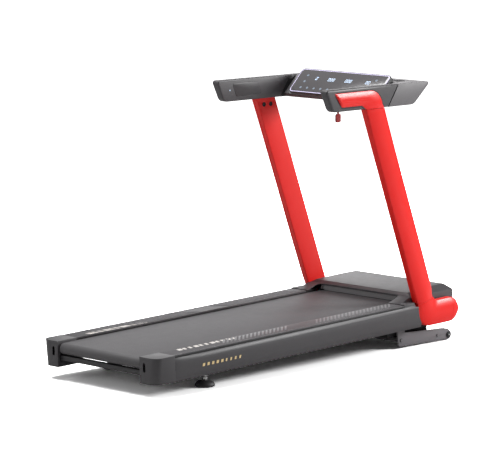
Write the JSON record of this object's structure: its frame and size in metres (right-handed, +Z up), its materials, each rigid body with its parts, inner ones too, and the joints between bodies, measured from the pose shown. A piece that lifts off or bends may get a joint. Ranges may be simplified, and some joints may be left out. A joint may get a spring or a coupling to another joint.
{
  "type": "treadmill",
  "caption": "Motorised treadmill with a flat running deck, leaning red uprights, horizontal handles, a sloped display and a lever-type incline.",
  "frame": {"origin": "on the floor, under the middle of the overall bounding box", "axes": "+X is the running direction, towards the hood and console; +Y is the runner's left; +Z is up"},
  "size_m": [1.9184, 0.716, 1.2313],
  "materials": {
    "frame_paint": "satin black powder coat",
    "zinc_steel": "zinc plated",
    "roller_steel": "turned steel",
    "board": "waxed fibreboard",
    "rubber": "matt",
    "belt": "fine diamond texture",
    "graphite": "fine grain",
    "graphite_light": "fine grain",
    "black_plastic": "matt",
    "red_paint": "satin red",
    "red_cover": "satin red",
    "motor": "black",
    "rotor": "machined",
    "electronics": "plain",
    "screen": "tinted",
    "light": "lit edge",
    "key_plastic": "translucent red",
    "lever_paint": "dark grey"
  },
  "bodies": {
    "frame": {"frame_rail_left": "frame_paint", "frame_rail_right": "frame_paint", "frame_cross_tubes": "frame_paint", "frame_brackets": "frame_paint", "lever_pins": "zinc_steel", "deck_board": "board", "deck_cushions": "rubber", "foot_rail_left": "graphite", "foot_rail_right": "graphite", "side_cover_left": "graphite", "side_cover_right": "graphite", "rear_cap_left": "graphite", "rear_cap_right": "graphite", "roller_bolts": "zinc_steel", "rear_axle": "zinc_steel", "front_axle": "zinc_steel", "running_belt": "belt", "drive_belt": "rubber", "drive_motor": "motor", "motor_controller": "electronics", "power_inlet": "black_plastic", "motor_hood": "graphite", "belly_pan": "black_plastic", "upright_left": "red_paint", "upright_right": "red_paint", "upright_cover_left": "red_cover", "upright_cover_right": "red_cover", "shoe_left": "red_cover", "shoe_right": "red_cover", "shoe_cap_left": "red_cover", "shoe_cap_right": "red_cover", "upright_bolts": "black_plastic", "handle_left": "graphite", "handle_right": "graphite", "handle_inlay_left": "red_cover", "handle_inlay_right": "red_cover", "sensor_panels": "black_plastic", "console_front": "graphite_light", "display_housing": "black_plastic", "display_glass": "screen", "light_ring": "light", "safety_socket": "black_plastic"},
    "lever": {"lever_plate_left": "lever_paint", "lever_plate_right": "lever_paint", "lever_cross_tubes": "lever_paint", "wheel_axles": "zinc_steel"},
    "wheel_left": {"wheel_left": "rubber"},
    "wheel_right": {"wheel_right": "rubber"},
    "front_roller": {"front_roller": "roller_steel", "roller_pulley": "black_plastic"},
    "rear_roller": {"rear_roller": "roller_steel"},
    "rotor": {"motor_rotor": "rotor"},
    "actuator": {"actuator_housing": "motor"},
    "actuator_rod": {"actuator_rod": "zinc_steel"},
    "foot_left": {"foot_pad_left": "rubber", "foot_stem_left": "zinc_steel"},
    "foot_right": {"foot_pad_right": "rubber", "foot_stem_right": "zinc_steel"},
    "safety_key": {"safety_key": "key_plastic"},
    "power_switch": {"power_switch": "black_plastic"}
  },
  "joints": [
    {"name": "lever_tilt", "type": "hinge", "parent": "frame", "child": "lever", "pos_m": [0.59384, 0, 0.10261], "axis": [0, 1, 0], "range_deg": [0, 30]},
    {"name": "wheel_left_spin", "type": "hinge", "parent": "lever", "child": "wheel_left", "pos_m": [0.93001, 0.275, 0.02418], "axis": [0, 1, 0], "continuous": true},
    {"name": "wheel_right_spin", "type": "hinge", "parent": "lever", "child": "wheel_right", "pos_m": [0.93001, -0.275, 0.02418], "axis": [0, 1, 0], "continuous": true},
    {"name": "front_roller_spin", "type": "hinge", "parent": "frame", "child": "front_roller", "pos_m": [0.68994, 0, 0.17665], "axis": [0, 1, 0], "continuous": true},
    {"name": "rear_roller_spin", "type": "hinge", "parent": "frame", "child": "rear_roller", "pos_m": [-0.9325, 0, 0.13416], "axis": [0, 1, 0], "continuous": true},
    {"name": "rotor_spin", "type": "hinge", "parent": "frame", "child": "rotor", "pos_m": [0.83203, 0.14, 0.17486], "axis": [0, 1, 0], "continuous": true},
    {"name": "actuator_swing", "type": "hinge", "parent": "frame", "child": "actuator", "pos_m": [0.8405, 0, 0.15708], "axis": [0, 1, 0], "range_deg": [0, 3.6]},
    {"name": "actuator_stroke", "type": "slide", "parent": "actuator", "child": "actuator_rod", "axis": [-0.8896, 0, -0.4568], "range_m": [0, 0.0315]},
    {"name": "foot_left_screw", "type": "slide", "parent": "frame", "child": "foot_left", "axis": [0, 0, 1], "range_m": [-0.02, 0]},
    {"name": "foot_right_screw", "type": "slide", "parent": "frame", "child": "foot_right", "axis": [0, 0, 1], "range_m": [-0.02, 0]},
    {"name": "safety_key_pull", "type": "slide", "parent": "frame", "child": "safety_key", "axis": [0, 0, -1], "range_m": [0, 0.03]},
    {"name": "power_switch_rock", "type": "hinge", "parent": "frame", "child": "power_switch", "pos_m": [0.92271, -0.171, 0.11952], "axis": [0, 1, 0], "range_deg": [0, 10]}
  ],
  "couplings": [
    {"joint": "rear_roller_spin", "follows": "front_roller_spin", "ratio": 1},
    {"joint": "rotor_spin", "follows": "front_roller_spin", "ratio": 2.375},
    {"joint": "actuator_swing", "follows": "lever_tilt", "ratio": 0.11046},
    {"joint": "actuator_stroke", "follows": "lever_tilt", "m_per_rad": 0.058039}
  ]
}
